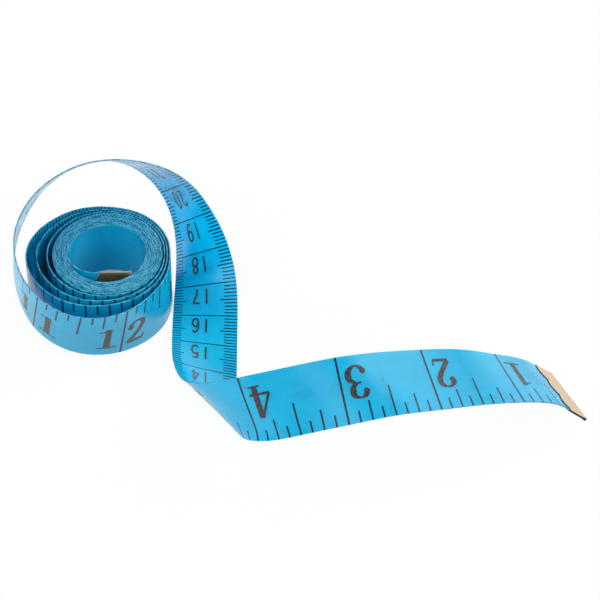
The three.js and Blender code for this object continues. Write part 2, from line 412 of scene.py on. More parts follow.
    def coiled_part(self, free_length: float) -> tuple[Array, float, float]:
        """Rulings of the loose turns, the tight turns and the inner end.

        The tight turns are a spiral whose pitch makes the whole strip as long as a real one. Their edges
        stand a little uneven, by a sum of sines that fades out over the first turn and the last.

        Args:
            free_length: length of the free part up to where it joins the loose turns.

        Returns:
            The rulings by edge by axis, the length at which the loose turns end and the tight pitch.
        """
        finest = self.step / self.tight_radius
        joined = np.arange(self.joined_angle, self.loose_turns * FULL_TURN, finest)
        loose = self.upright(self.loop_angle + joined, self.loose_radius(joined))
        loose_end = free_length + middle_length(loose)
        winding = self.tight_winding
        wound = np.arange(0, winding, finest)
        start = self.loop_angle + self.loose_turns * FULL_TURN
        swollen = self.tight_radius + self.least_swell * self.swell(start + wound)
        pitch = self.first_pitch
        for _ in range(self.pitch_rounds):
            end_length = middle_length(self.inner_end(start + winding, swollen[-1], pitch))
            tight_length = TAPE.length - loose_end - end_length - self.scale_gain[-1][1] * MM
            pitch = (swollen.mean() * winding - tight_length) * 2 * FULL_TURN / winding**2
        faded = smooth_step(wound / FULL_TURN) * smooth_step((winding - wound) / FULL_TURN)
        waves = sum(size * MM * np.sin(rate * wound + phase) for size, rate, phase in self.uneven_waves)
        tight = self.upright(start + wound, swollen - pitch * wound / FULL_TURN,
                             (self.uneven_lift + waves) * faded)
        end = self.inner_end(start + winding, swollen[-1], pitch)
        return np.concatenate([loose, tight, end]), loose_end, float(pitch)

    def whole(self) -> tuple[RuledStrip, float]:
        """The strip from its free end to its inner end.

        The flat length of each edge is its length in space. Past the fold the rulings lie square to the
        strip, so the slant that is left there fades out.

        Returns:
            The strip and the length at which its loose turns end.
        """
        free = self.free_part()
        free_length = middle_length(free)
        coiled, loose_end, pitch = self.coiled_part(free_length)
        LOG.info("free part %.1f mm, pitch of the tight turns %.3f mm", free_length / MM, pitch / MM)
        rulings = np.concatenate([free, coiled])
        runs = np.concatenate([np.zeros((1, 2)), np.cumsum(steps_between(rulings), axis=0)])
        middle = runs.mean(axis=1)
        slanted = 1 - smooth_step((middle - self.square_from) / self.square_over)
        slant = (runs[:, 1] - runs[:, 0]) / 2 * slanted
        places, plain_gain, ticked_gain = np.array(self.scale_gain).T * MM
        plain_run = middle - slant + np.interp(middle, places, plain_gain)
        ticked_run = middle + slant + np.interp(middle, places, ticked_gain)
        rulings = rulings + np.array([*self.centre, 0])
        strip = RuledStrip(rulings[:, 0], rulings[:, 1], plain_run, ticked_run)
        return strip, loose_end + float(plain_gain[-1])


def grid_quads(rows: int, columns: int) -> Array:
    """Quads between the neighbours of a grid.

    Args:
        rows, columns: size of the grid, whose vertices are numbered row by row.

    Returns:
        Four vertices for each quad.
    """
    index = np.arange(rows * columns).reshape(rows, columns)
    corners = (index[:-1, :-1], index[1:, :-1], index[1:, 1:], index[:-1, 1:])
    return np.stack(corners, -1).reshape(-1, 4)


def smooth_mesh(
    name: str, vertices: Array, quads: Array, slots: Array, materials: list[Material]
) -> bpy.types.Mesh:
    """A mesh with smooth faces.

    Args:
        name: name of its piece.
        vertices, quads: places, and four vertices for each face.
        slots: which of the materials each face has.
        materials: finishes of the faces.

    Returns:
        The mesh, not yet in the scene.
    """
    mesh = bpy.data.meshes.new(name)
    mesh.from_pydata(vertices.tolist(), [], quads.tolist())
    mesh.polygons.foreach_set("material_index", slots.astype(np.int32))
    mesh.polygons.foreach_set("use_smooth", np.ones(len(quads), bool))
    for material in materials:
        mesh.materials.append(material)
    return mesh


def place_mesh(mesh: bpy.types.Mesh) -> Piece:
    """Puts a mesh into the scene.

    Args:
        mesh: the mesh, with its place in it.

    Returns:
        An object of the same name, at the origin.
    """
    mesh.update()
    made = bpy.data.objects.new(mesh.name, mesh)
    bpy.context.scene.collection.objects.link(made)
    return made


@dataclass
class SlabMesh:
    """A thin closed slab over a grid of places: two faces and the rim round them."""

    places: Array
    outward: Array
    thickness: float
    flat: Array | None = None

    def build(self, name: str, materials: list[Material]) -> Piece:
        """Makes the slab.

        Each face is the grid moved half the thickness along the outward direction, or against it. The rim is
        a row of quads round the grid. Faces keep the outward directions as normals, so that a cut between
        two stretches doesn't show.

        Args:
            name: name of the piece.
            materials: finish of the outward face, of the other face and of the rim.

        Returns:
            The piece.
        """
        rows, columns = self.places.shape[:2]
        count = rows * columns
        index = np.arange(count).reshape(rows, columns)
        half = self.outward * self.thickness / 2
        vertices = np.concatenate([self.places + half, self.places - half]).reshape(-1, 3)
        quads = grid_quads(rows, columns)
        around = np.concatenate([index[:, 0], index[-1, 1:], index[-2::-1, -1], index[0, -2:0:-1]])
        following = np.roll(around, -1)
        rim = np.stack([around, around + count, following + count, following], axis=1)
        faces = np.concatenate([quads, quads[:, ::-1] + count, rim])
        slots = np.repeat([0, 1, 2], [len(quads), len(quads), len(rim)])
        mesh = smooth_mesh(name, vertices, faces, slots, materials)
        directions = self.outward.reshape(-1, 3)
        sides = unit(np.cross(vertices[following] - vertices[around], directions[around]))
        normals = np.concatenate([
            directions[quads.ravel()], -directions[quads[:, ::-1].ravel()], np.repeat(sides, 4, axis=0)
        ])
        mesh.normals_split_custom_set(normals.tolist())
        if self.flat is not None:
            through = np.array([0, 0, 1])
            both = np.concatenate([self.flat + through, self.flat - through])
            flat = mesh.attributes.new("flat", "FLOAT_VECTOR", "POINT")
            flat.data.foreach_set("vector", both.ravel().astype(np.float32))
        return place_mesh(mesh)


class NodeSheet:
    """Nodes of one material, with short calls for the ones that are used often."""

    def __init__(self, name: str, surface: str = "BsdfPrincipled") -> None:
        """Starts a material.

        Args:
            name: the material's name.
            surface: kind of the shader on its surface.
        """
        self.material = bpy.data.materials.new(name)
        self.material.use_nodes = True
        self.tree = self.material.node_tree
        self.tree.nodes.clear()
        self.shader = self.node(surface, {})
        self.node("OutputMaterial", {"Surface": self.shader.outputs[0]})

    def feed(self, socket: Socket, value: object) -> None:
        """Links a socket to another, or sets its value.

        Args:
            socket: the input.
            value: an output, a number or a tuple, which may lack a colour's fourth number.
        """
        if isinstance(value, Socket):
            self.tree.links.new(value, socket)
        elif isinstance(value, tuple):
            socket.default_value = (*value, 1.0) if len(value) < len(socket.default_value) else value
        else:
            socket.default_value = value

    def node(self, kind: str, inputs: dict[int | str, object], **settings: object) -> bpy.types.Node:
        """Adds a node.

        Args:
            kind: its type, without the words that all types start with.
            inputs: what its inputs are fed, by their number or name.
            settings: its own settings.

        Returns:
            The node.
        """
        made = self.tree.nodes.new("ShaderNode" + kind)
        for name, value in settings.items():
            setattr(made, name, value)
        for key, value in inputs.items():
            self.feed(made.inputs[key], value)
        return made

    def math(self, operation: str, *values: object) -> Socket:
        """A math node's result."""
        return self.node("Math", dict(enumerate(values)), operation=operation).outputs[0]

    def mix(self, share: object, first: object, second: object) -> Socket:
        """A colour between two colours."""
        return self.node("Mix", {0: share, 6: first, 7: second}, data_type="RGBA").outputs[2]

    def ramp(self, value: object, low: float, high: float) -> Socket:
        """A value stretched so that low becomes 0 and high becomes 1, smoothly and clipped."""
        return self.node("MapRange", {0: value, 1: low, 2: high}, interpolation_type="SMOOTHSTEP").outputs[0]

    def near_multiple(self, value: Socket, pitch: float, breadth: float) -> Socket:
        """1 where a value is within half a breadth of a multiple of the pitch."""
        return self.math("LESS_THAN", self.math("PINGPONG", value, pitch / 2), breadth / 2)

    def flat_place(self) -> tuple[Socket, ...]:
        """Millimetres along and across the flat strip, 1 to -1 through it, and the vector of all three."""
        vector = self.node("Attribute", {}, attribute_name="flat").outputs["Vector"]
        return *self.node("SeparateXYZ", {0: vector}).outputs, vector

    def object_place(self) -> Socket:
        """Place on the piece, in metres."""
        return self.node("TexCoord", {}).outputs["Object"]

    def noise(self, place: Socket, scale: float, detail: float = 2.0) -> Socket:
        """Cloudy noise from 0 to 1."""
        return self.node("TexNoise", {"Vector": place, "Scale": scale, "Detail": detail}).outputs[0]

    def stretched(self, place: Socket, scale: Place) -> Socket:
        """A place scaled by a different amount along each axis."""
        return self.node("Mapping", {"Vector": place, "Scale": scale}).outputs[0]

    def bump(self, height: object, strength: float, distance: float) -> None:
        """Surface relief of the shader from a height."""
        relief = self.node("Bump", {"Strength": strength, "Distance": distance, "Height": height})
        self.feed(self.shader.inputs["Normal"], relief.outputs[0])

    def dress(self, **values: object) -> Material:
        """Sets sockets of the shader.

        Args:
            values: what each is fed, by its name with underlines for spaces.

        Returns:
            The material.
        """
        for name, value in values.items():
            self.feed(self.shader.inputs[name.replace("_", " ")], value)
        return self.material


@dataclass(frozen=True)
class PrintedMark:
    """One rank of printed lines: their pitch, breadth and reach, in millimetres."""

    pitch: float
    breadth: float
    from_ticked: float
    from_plain: float = 0.0


@dataclass(frozen=True)
class PrintedFace:
    """Finish of one side of the strip: coated cloth and printed lines, in millimetres of the flat strip."""

    name: str
    deep: Colour
    light: Colour
    line: Colour
    marks: tuple[PrintedMark, ...]
    last_mark: float
    roughness: float = 0.24
    specular: float = 0.5
    warp_pitch: float = 0.42
    weft_pitch: float = 0.546
    weft_height: float = 0.45  # next to the warp's
    slub_stretch: Place = (0.12, 2.2, 1.0)
    slub_height: float = 1.5
    cloud_scale: float = 0.055
    wear_scale: float = 2.4
    least_ink: float = 0.75
    relief: float = 0.08
    relief_depth: float = 0.02 * MM
    glow_share: float = 0.9  # share of the light that goes into the coating before it comes out
    glow_reach: Place = (0.3, 1.1, 1.0)  # how far red, green and blue go, times the depth
    glow_depth: float = 1.0 * MM

    def lines(self, sheet: NodeSheet) -> Socket:
        """Share of ink: 1 where the place is on a line of a rank, and within the rank's reach.

        Args:
            sheet: the material's nodes.

        Returns:
            The share of ink.
        """
        along, across, _, _ = sheet.flat_place()
        from_ticked = sheet.math("SUBTRACT", TAPE.width / MM, across)
        inked = 0.0
        for mark in self.marks:
            on_line = sheet.near_multiple(along, mark.pitch, mark.breadth)
            reached = sheet.math("LESS_THAN", from_ticked, mark.from_ticked)
            if mark.from_plain:
                reached = sheet.math("MAXIMUM", reached, sheet.math("LESS_THAN", across, mark.from_plain))
            inked = sheet.math("MAXIMUM", inked, sheet.math("MULTIPLY", on_line, reached))
        return sheet.math("MULTIPLY", inked, sheet.math("LESS_THAN", along, self.last_mark))

    def material(self) -> Material:
        """Makes the material: woven relief, cloudy blue, slightly worn ink.

        Returns:
            The material.
        """
        sheet = NodeSheet(self.name)
        along, across, _, flat = sheet.flat_place()
        cloud = sheet.noise(flat, self.cloud_scale, 3)
        warp = sheet.math("SINE", sheet.math("MULTIPLY", across, FULL_TURN / self.warp_pitch))
        weft = sheet.math("SINE", sheet.math("MULTIPLY", along, FULL_TURN / self.weft_pitch))
        weave = sheet.math("MULTIPLY_ADD", weft, self.weft_height, warp)
        slub = sheet.noise(sheet.stretched(flat, self.slub_stretch), 1.0)
        tone = sheet.math("ADD", sheet.math("MULTIPLY_ADD", weave, 0.05, cloud),
                          sheet.math("MULTIPLY_ADD", slub, 0.5, -0.25))
        cloth = sheet.mix(sheet.ramp(tone, 0.2, 0.8), self.deep, self.light)
        worn = sheet.ramp(sheet.noise(flat, self.wear_scale, 3), 0.16, 0.42)
        kept = sheet.math("MULTIPLY_ADD", worn, 1 - self.least_ink, self.least_ink)
        ink = sheet.math("MULTIPLY", self.lines(sheet), kept)
        height = sheet.math("ADD", weave, sheet.math("MULTIPLY", slub, self.slub_height))
        sheet.bump(height, self.relief, self.relief_depth)
        rough = sheet.math("MULTIPLY_ADD", cloud, 0.5 * self.roughness, 0.75 * self.roughness)
        return sheet.dress(
            Base_Color=sheet.mix(ink, cloth, self.line), Roughness=rough, Specular_IOR_Level=self.specular,
            Subsurface_Weight=self.glow_share, Subsurface_Radius=self.glow_reach,
            Subsurface_Scale=self.glow_depth,
        )


@dataclass(frozen=True)
class CutEdge:
    """Finish of the strip's cut edge: pale coating over the threads, partly a painted highlight, dark where
    a line runs over it, and painted shade along its corners.
    """

    name: str
    # pale: partly the coating's own colour, partly a painted highlight of the edge lit from above
    pale: Colour
    dull: Colour
    # line: the ticks' ink, and also the colour of the painted shade along the corners
    line: Colour
    inch_tick: float = 3.175
    centimetre_tick: float = 1.0
    tick_breadth: float = 0.4
    tick_ink: float = 0.7
    # painted shade: how far the corners next to the faces are darkened towards the line's colour
    corner_ink: float = 0.75
    speck_stretch: Place = (0.4, 0.05, 0.2)
    relief: float = 0.2
    relief_depth: float = 0.03 * MM

    def material(self) -> Material:
        """Makes the material: specks of coating and thread, the ends of the ticks and painted shade along
        the corners.

        Returns:
            The material.
        """
        sheet = NodeSheet(self.name)
        along, _, through, flat = sheet.flat_place()
        speck = sheet.ramp(sheet.noise(sheet.stretched(flat, self.speck_stretch), 1.0), 0.35, 0.65)
        other = sheet.math("MULTIPLY", through, -1.0)
        tick = 0.0
        for pitch, side in ((self.inch_tick, through), (self.centimetre_tick, other)):
            on_tick = sheet.near_multiple(along, pitch, self.tick_breadth)
            tick = sheet.math("MAXIMUM", tick, sheet.math("MULTIPLY", on_tick, sheet.ramp(side, 0.0, 0.5)))
        # Painted shade: the edge darkens towards both faces, standing in for the shade in the narrow gaps
        # between turns.
        corner = sheet.ramp(sheet.math("ABSOLUTE", through), 0.35, 1.0)
        # inked mixes the printed ticks with the painted corner shade.
        inked = sheet.math("MAXIMUM", sheet.math("MULTIPLY", tick, self.tick_ink),
                           sheet.math("MULTIPLY", corner, self.corner_ink))
        colour = sheet.mix(inked, sheet.mix(speck, self.dull, self.pale), self.line)
        sheet.bump(speck, self.relief, self.relief_depth)
        return sheet.dress(Base_Color=colour, Roughness=sheet.math("MULTIPLY_ADD", speck, -0.15, 0.6))


@dataclass(frozen=True)
class FigureInk:
    """Finish of the printed figures."""

    name: str
    colour: Colour
    worn: Colour
    roughness: float = 0.26
    spot_scale: float = 1600

    def material(self) -> Material:
        """Makes the material: ink that is a little thin in spots.

        Returns:
            The material.
        """
        sheet = NodeSheet(self.name)
        thin = sheet.ramp(sheet.noise(sheet.object_place(), self.spot_scale, 3), 0.42, 0.8)
        rough = sheet.math("MULTIPLY_ADD", thin, 0.12, self.roughness)
        return sheet.dress(Base_Color=sheet.mix(thin, self.colour, self.worn), Roughness=rough)


@dataclass(frozen=True)
class ClipMetal:
    """Finish of a clip: thin plated sheet, brushed along the tape, with dull spots."""

    name: str
    plate: Colour
    tarnish: Colour
    spread: float
    roughness: float
    metallic: float = 0.85
    cloud_scale: float = 260
    scratch_stretch: Place = (900, 5200, 900)
    relief: float = 0.12
    relief_depth: float = 0.02 * MM

    def material(self) -> Material:
        """Makes the material: tarnish in clouds and fine scratches that change the gloss.

        Returns:
            The material.
        """
        sheet = NodeSheet(self.name)
        place = sheet.object_place()
        cloud = sheet.ramp(sheet.noise(place, self.cloud_scale, 4), 0.62 - self.spread, 0.95 - self.spread)
        scratch = sheet.noise(sheet.stretched(place, self.scratch_stretch), 1.0)
        dulled = sheet.math("MULTIPLY_ADD", cloud, 0.2, self.roughness)
        rough = sheet.math("MULTIPLY_ADD", scratch, 0.16, dulled)
        sheet.bump(sheet.math("ADD", scratch, cloud), self.relief, self.relief_depth)
        colour = sheet.mix(cloud, self.plate, self.tarnish)
        return sheet.dress(Base_Color=colour, Metallic=self.metallic, Roughness=rough)


INCH_MARKS = (
    PrintedMark(25.4, 0.6, 18.1),
    PrintedMark(12.7, 0.5, 8.6),
    PrintedMark(6.35, 0.5, 5.4),
    PrintedMark(3.175, 0.5, 3.15),
)
CENTIMETRE_MARKS = (
    PrintedMark(10, 0.32, 18.1),
    PrintedMark(5, 0.36, 4.9, 3.4),
    PrintedMark(1, 0.34, 3.7, 2.5),
)
INCH_FACE = PrintedFace(
    "coated_cloth_inches", srgb(2, 164, 205), srgb(8, 178, 219), srgb(8, 34, 52), INCH_MARKS, 1525
)
CENTIMETRE_FACE = PrintedFace(
    "coated_cloth_centimetres", srgb(4, 178, 229), srgb(10, 193, 245), srgb(6, 40, 64),
    CENTIMETRE_MARKS, 1440, roughness=0.2, specular=0.25
)
# The cut edge's pale colour is partly a painted highlight: it is drawn lighter than the faces.
CUT_EDGE = CutEdge("cut_edge", srgb(104, 204, 236), srgb(26, 140, 186), srgb(8, 46, 70))
INCH_INK = FigureInk("inch_figure_ink", srgb(52, 50, 52), srgb(72, 74, 78))
CENTIMETRE_INK = FigureInk("centimetre_figure_ink", srgb(40, 62, 80), srgb(58, 88, 112), 0.2)
FREE_CLIP_METAL = ClipMetal("pale_plated_sheet", srgb(216, 193, 167), srgb(200, 170, 132), 0.0, 0.42)
# Painted shade: the free clip's inner side and sheet edge are dark metal, standing in for the shadow where
# the clip meets the strip.
FREE_CLIP_SHADE_EDGE = ClipMetal("painted_shade_sheet_edge", srgb(60, 66, 58), srgb(40, 42, 36), 0.1, 0.45)
# Painted highlight: the inner clip's sheet edge is drawn near white, standing in for the light on its folded
# edge.
INNER_CLIP_HIGHLIGHT_EDGE = ClipMetal("painted_highlight_sheet_edge", srgb(240, 222, 200), srgb(206, 180, 150), 0.0, 0.4)
INNER_CLIP_METAL = ClipMetal("dull_brass_sheet", srgb(176, 152, 108), srgb(112, 98, 58), 0.12, 0.36)


class Finishes:
    """The materials of the part, made once."""

    def __init__(self) -> None:
        """Makes each material, in the order in which the faces of a piece use them."""
        self.strip = [INCH_FACE.material(), CENTIMETRE_FACE.material(), CUT_EDGE.material()]
        self.ink = [INCH_INK.material(), CENTIMETRE_INK.material()]
        pale, dark = FREE_CLIP_METAL.material(), FREE_CLIP_SHADE_EDGE.material()
        dull, painted_highlight = INNER_CLIP_METAL.material(), INNER_CLIP_HIGHLIGHT_EDGE.material()
        # The free clip's inner side and edge carry painted shade.
        self.free_clip = [pale, dark, dark]
        # The inner clip's sheet edge carries a painted highlight.
        self.inner_clip = [dull, dull, painted_highlight]


@dataclass(frozen=True)
class PenStroke:
    """One stroke of a figure one unit tall: the path of the pen, and its breadth where that is even."""

    path: tuple[tuple[float, float], ...]
    even: float = 0.0
    closed: bool = False
    serif: bool = False


def pen(*numbers: float, even: float = 0.0, closed: bool = False, serif: bool = False) -> PenStroke:
    """A stroke from the x and y of each of its points, in hundredths of the figure's height."""
    path = tuple((x / 100, y / 100) for x, y in zip(numbers[::2], numbers[1::2]))
    return PenStroke(path, even / 100, closed, serif)


def oval(x: float, y: float, wide: float, tall: float, even: float = 0.0, serif: bool = False) -> PenStroke:
    """A closed stroke round an ellipse of eight points.

    Args:
        x, y, wide, tall: its middle and its half sizes, in hundredths of the figure's height.
        even, serif: as in a stroke.

    Returns:
        The stroke.
    """
    turn = np.arange(8) * FULL_TURN / 8
    points = np.stack([x + wide * np.sin(turn), y + tall * np.cos(turn)], axis=1)
    return pen(*points.ravel().tolist(), even=even, closed=True, serif=serif)


def ball(x: float, y: float) -> PenStroke:
    """The round drop at the end of a figure's thin stroke."""
    radius = 4.5
    return oval(x, y, radius, radius, 2 * radius, True)


BAND = 10
FINE = 5
FIGURE_BOX = 0.64  # width of the box that a figure one unit tall stands in
SIX = (
    pen(50, 86, 44, 95, 32, 97, 17, 82, 10, 55, 10, 30, 18, 7, 32, 2,
        48, 12, 53, 32, 46, 52, 33, 58, 20, 52, 12, 38),
    ball(49, 84),
)
# A nine is a six turned half round.
NINE = tuple(replace(stroke, path=tuple((FIGURE_BOX - x, 1 - y) for x, y in stroke.path)) for stroke in SIX)
FIGURES: dict[str, tuple[PenStroke, ...]] = {
    "0": (oval(32, 50, 23, 48),),
    "1": (
        pen(36, 98, 36, 3),
        pen(9, 3, 64, 3, even=FINE, serif=True),
        pen(36, 94, 24, 88, 10, 86, even=FINE, serif=True),
    ),
    "2": (
        pen(12, 72, 15, 88, 32, 97.5, 49, 90, 53, 72, 42, 50, 24, 27, 9, 7),
        pen(8, 6, 56, 6, even=BAND),
        pen(56, 6, 59, 24, even=FINE, serif=True),
        ball(14, 73),
    ),
    "3": (
        pen(12, 82, 21, 95, 35, 97.5, 49, 88, 48, 66, 36, 54.5, 24, 53),
        pen(24, 53, 42, 51, 55, 38, 54, 18, 41, 4, 27, 2, 12, 14),
        ball(13, 80),
        ball(13, 18),
    ),
    "4": (
        pen(40, 98, 4, 27, even=1.5 * FINE),
        pen(3, 27, 62, 27, even=1.5 * FINE),
        pen(43, 98, 43, 3),
        pen(26, 3, 60, 3, even=FINE, serif=True),
    ),
    "5": (
        pen(14, 94, 53, 94, even=BAND),
        pen(14, 95, 12, 52, even=1.4 * FINE),
        pen(12, 52, 22, 60, 36, 62, 52, 50, 55, 32, 48, 10, 32, 2, 18, 5, 11, 16),
        ball(13, 18),
    ),
    "6": SIX,
    "7": (
        pen(6, 93, 57, 93, even=BAND),
        pen(6, 95, 5, 74, even=FINE, serif=True),
        pen(55, 92, 42, 66, 31, 42, 27, 20, 27, 2),
    ),
    "8": (oval(32, 75, 17, 21.5), oval(32, 27, 22, 25.5)),
    "9": NINE,
}


@dataclass(frozen=True)
class FigureStyle:
    """How the figures of one scale are drawn and where they stand, in metres."""

    side: Side
    unit: float
    height: float
    figure_width: float
    spacing: float
    broad: float
    thin: float
    serifs: bool
    contrast: float = 1.5  # power by which the pen broadens as a stroke turns upright
    rise: float = 0.03 * MM

    def stroke_grid(self, stroke: PenStroke) -> Array:
        """Ribbon along a stroke: the path and its two sides, half the pen's breadth away.

        The breadth runs from thin, where the stroke lies level, to broad, where it stands upright.

        Args:
            stroke: the stroke.

        Returns:
            A grid of places along by across by axis, in a box one unit tall.
        """
        corners = np.array(stroke.path)
        steps = 6 if len(corners) > 2 else 4
        path = curve_through(corners, steps, stroke.closed)
        slope = np.gradient(path, axis=0)
        if stroke.closed:
            slope[0] = slope[-1] = path[1] - path[-2]
        slope = unit(slope)
        normal = np.stack([-slope[:, 1], slope[:, 0]], axis=1)
        breadth = self.thin + (self.broad - self.thin) * np.abs(normal[:, 0]) ** self.contrast
        if stroke.even and self.serifs:
            breadth = np.full(len(path), stroke.even)
        half = breadth[:, None, None] / 2 * np.array([1, 0, -1])[None, :, None]
        return path[:, None, :] + half * normal[:, None, :]

    def figure(self, digit: str) -> list[Array]:
        """Ribbons of one figure, as wide and as tall as it is printed."""
        size = np.array([self.figure_width / FIGURE_BOX, self.height])
        return [self.stroke_grid(stroke) * size
                for stroke in FIGURES[digit] if self.serifs or not stroke.serif]

    def flat_ribbons(self, number: int) -> list[Array]:
        """Ribbons of one number on the flat strip."""
        raise NotImplementedError


@dataclass(frozen=True)
class InchFigures(FigureStyle):
    """Tall figures with thick and thin strokes that read along the tape, with the ticked edge upwards."""

    base: float = 2.9 * MM
    before_line: float = 1.6 * MM
    after_line: float = 0.9 * MM

    def flat_ribbons(self, number: int) -> list[Array]:
        """Ribbons of one number: a single figure before its line, or two with the line between them.

        Args:
            number: the number of inches.

        Returns:
            Grids of length along and length across the strip.
        """
        line = number * self.unit
        starts = (line - self.before_line - self.figure_width, line + self.after_line)
        return [grid + np.array([start, self.base])
                for digit, start in zip(str(number), starts) for grid in self.figure(digit)]


@dataclass(frozen=True)
class CentimetreFigures(FigureStyle):
    """Narrow even figures that read across the tape, with its free end upwards."""

    centre: float = 7.9 * MM
    before_line: float = 1.1 * MM

    def flat_ribbons(self, number: int) -> list[Array]:
        """Ribbons of one number, just before its line.

        Args:
            number: the number of centimetres.

        Returns:
            Grids of length along and length across the strip.
        """
        digits, pitch = str(number), self.figure_width + self.spacing
        base = number * self.unit - self.before_line
        start = self.centre + (len(digits) * pitch - self.spacing) / 2
        return [np.array([base, start - order * pitch]) - grid[..., ::-1]
                for order, digit in enumerate(digits) for grid in self.figure(digit)]


INCH_FIGURES = InchFigures(Side.INCH, TAPE.inch, 8.9 * MM, 6.2 * MM, 0.0, 0.18, 0.055, True)
CENTIMETRE_FIGURES = CentimetreFigures(
    Side.CENTIMETRE, TAPE.centimetre, 5.1 * MM, 2.35 * MM, 0.75 * MM, 0.15, 0.125, False
)


@dataclass
class TapeStretch:
    """A stretch of the strip that moves with one body, or stays where it lies between two."""

    name: str
    start: float
    end: float
    bodies: tuple[str, ...]
    replaced: tuple[str, ...] = ()
    bend: tuple[Place, ...] = ()
    held: str = "folded"
    rests_on: tuple[str, ...] = ()
    figures: bool = True
    row_step: float = 1.0 * MM
    columns: int = 9

    def strip_piece(self, strip: RuledStrip, finishes: Finishes) -> Piece:
        """The stretch's own slab.

        A place is the share across of the ruling at the row's length. The flat place is the same share of
        the two edges' lengths, in millimetres of the printed scale.

        Args:
            strip: the whole strip.
            finishes: the part's materials.

        Returns:
            The piece.
        """
        rows = int(np.ceil((self.end - self.start) / self.row_step)) + 1
        runs = np.linspace(self.start, self.end, rows)
        here = strip.at(runs)
        share = np.linspace(0, 1, self.columns)
        places = here.plain[:, None] * (1 - share[:, None]) + here.ticked[:, None] * share[:, None]
        along = here.plain_run[:, None] * (1 - share) + here.ticked_run[:, None] * share + TAPE.scale_start
        across = np.broadcast_to(share, along.shape)
        flat = np.stack([along, across * TAPE.width, np.zeros_like(along)], axis=-1) / MM
        outward = strip.directions(np.broadcast_to(runs[:, None], along.shape), across)
        return SlabMesh(places, outward, TAPE.thickness, flat).build(self.name, finishes.strip)

    def figure_piece(self, strip: RuledStrip, finishes: Finishes) -> Piece | None:
        """The printed numbers whose middle lies on this stretch, as thin ribbons on both of its sides.

        Args:
            strip: the whole strip.
            finishes: the part's materials.

        Returns:
            The piece, or None where no number is printed.
        """
        vertices, quads, slots, count = [], [], [], 0
        for slot, style in enumerate((INCH_FIGURES, CENTIMETRE_FIGURES)):
            rise = style.side.value * (TAPE.thickness / 2 + style.rise)
            last = int((self.end + style.unit) / style.unit) + 1
            for number in range(1, last + 1):
                ribbons = style.flat_ribbons(number)
                middle = np.mean([ribbon[..., 0].mean() for ribbon in ribbons]) - TAPE.scale_start
                if not self.start <= middle < self.end:
                    continue
                for ribbon in ribbons:
                    run, across = ribbon.reshape(-1, 2).T
                    vertices.append(strip.place(run - TAPE.scale_start, across / TAPE.width, rise))
                    quads.append(grid_quads(*ribbon.shape[:2]) + count)
                    slots.append(np.full(len(quads[-1]), slot))
                    count += len(run)
        if not vertices:
            return None
        whole = (np.concatenate(rows) for rows in (vertices, quads, slots))
        return place_mesh(smooth_mesh(f"{self.name}_figures", *whole, finishes.ink))

    def move(self, piece: Piece) -> None:
        """Makes a piece of the stretch move with its body, or fixes it in place where it lies between two.

        Args:
            piece: the strip or its figures.
        """
        if len(self.bodies) == 1:
            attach(piece, self.bodies[0])
        else:
            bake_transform(piece)
        LOG.info("%s: %d faces", piece.name, len(piece.data.polygons))

    def build(self, strip: RuledStrip, finishes: Finishes) -> None:
        """Makes the stretch and its numbers, and moves them with its body or fixes them in place.

        Args:
            strip: the whole strip.
            finishes: the part's materials.
        """
        piece = self.strip_piece(strip, finishes)
        figures = self.figure_piece(strip, finishes) if self.figures else None
        printed = [figures] if figures else []
        for made in (piece, *printed):
            self.move(made)
        if self.replaced:
            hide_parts(*self.replaced)


@dataclass
class EndClip:
    """A thin metal sheet folded over an end of the strip, with a wavy toothed edge on each side."""

    name: str
    body: str
    replaced: str
    slot: str
    length: float = 7.5 * MM
    reach: float = 1.1 * MM
    sheet: float = 0.22 * MM
    gap: float = 0.46 * MM
    pinched: float = 0.66  # share of the gap where the sheet lies on the strip
    flare: float = 0.2  # share of a side, next to the fold, over which the sheet widens to the gap
    teeth: int = 3
    tooth_depth: float = 1.3 * MM
    overhang: float = 0.5 * MM
    closed: float = 0.45  # how far the two sheets come together past the strip's edges
    closed_from: float = 0.46  # share of the width, from its middle
    closed_over: float = 0.04
    columns: int = 97
    side_rows: int = 14
    fold_rows: int = 13

    def build(self, end: Array, before: Array, materials: list[Material]) -> None:
        """Makes the clip.

        Its section is a straight side, a half circle round the strip's end and a straight side back, carried
        across the strip. Each side's edge is the bow of a sine's half wave for each tooth.

        Args:
            end: plain and ticked place of the strip's last ruling.
            before: plain and ticked place of the ruling where the clip ends.
            materials: finish of the outer side, of the inner side and of the sheet's edge.
        """
        tip = end.mean(axis=0)
        along = unit(tip - before.mean(axis=0))
        face = unit(np.cross(along, end[1] - end[0]))
        turned = np.stack([along, np.cross(face, along), face])
        share = np.linspace(-0.5, 0.5, self.columns)
        edge = self.length - self.tooth_depth * (1 - np.abs(np.sin(np.pi * self.teeth * (share + 0.5))))
        straight = np.linspace(1, 0, self.side_rows)[:, None]
        turn = np.linspace(0, np.pi, self.fold_rows)[1:-1, None] + 0 * share
        fold_centre = self.reach - self.gap - self.sheet / 2
        pinch = self.pinched + (1 - self.pinched) * smooth_step(1 - straight / self.flare)
        closing = 1 - self.closed * smooth_step((np.abs(share) - self.closed_from) / self.closed_over)
        side_x = fold_centre - straight * (edge + fold_centre)
        side_z = self.gap * pinch * closing
        x = np.concatenate([side_x, fold_centre + self.gap * np.sin(turn), side_x[::-1]])
        y = np.broadcast_to(share * (TAPE.width + 2 * self.overhang), x.shape)
        z = np.concatenate([-side_z, -self.gap * np.cos(turn), side_z[::-1]])
        local = np.stack([x, y, z], axis=-1)
        outward = unit(np.cross(np.gradient(local, axis=1), np.gradient(local, axis=0))) @ turned
        places = tip + local @ turned
        clip = SlabMesh(places[:, ::-1], outward[:, ::-1], self.sheet).build(self.name, materials)
        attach(clip, self.body)
        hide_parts(self.replaced)
        LOG.info("%s: %d faces", clip.name, len(clip.data.polygons))


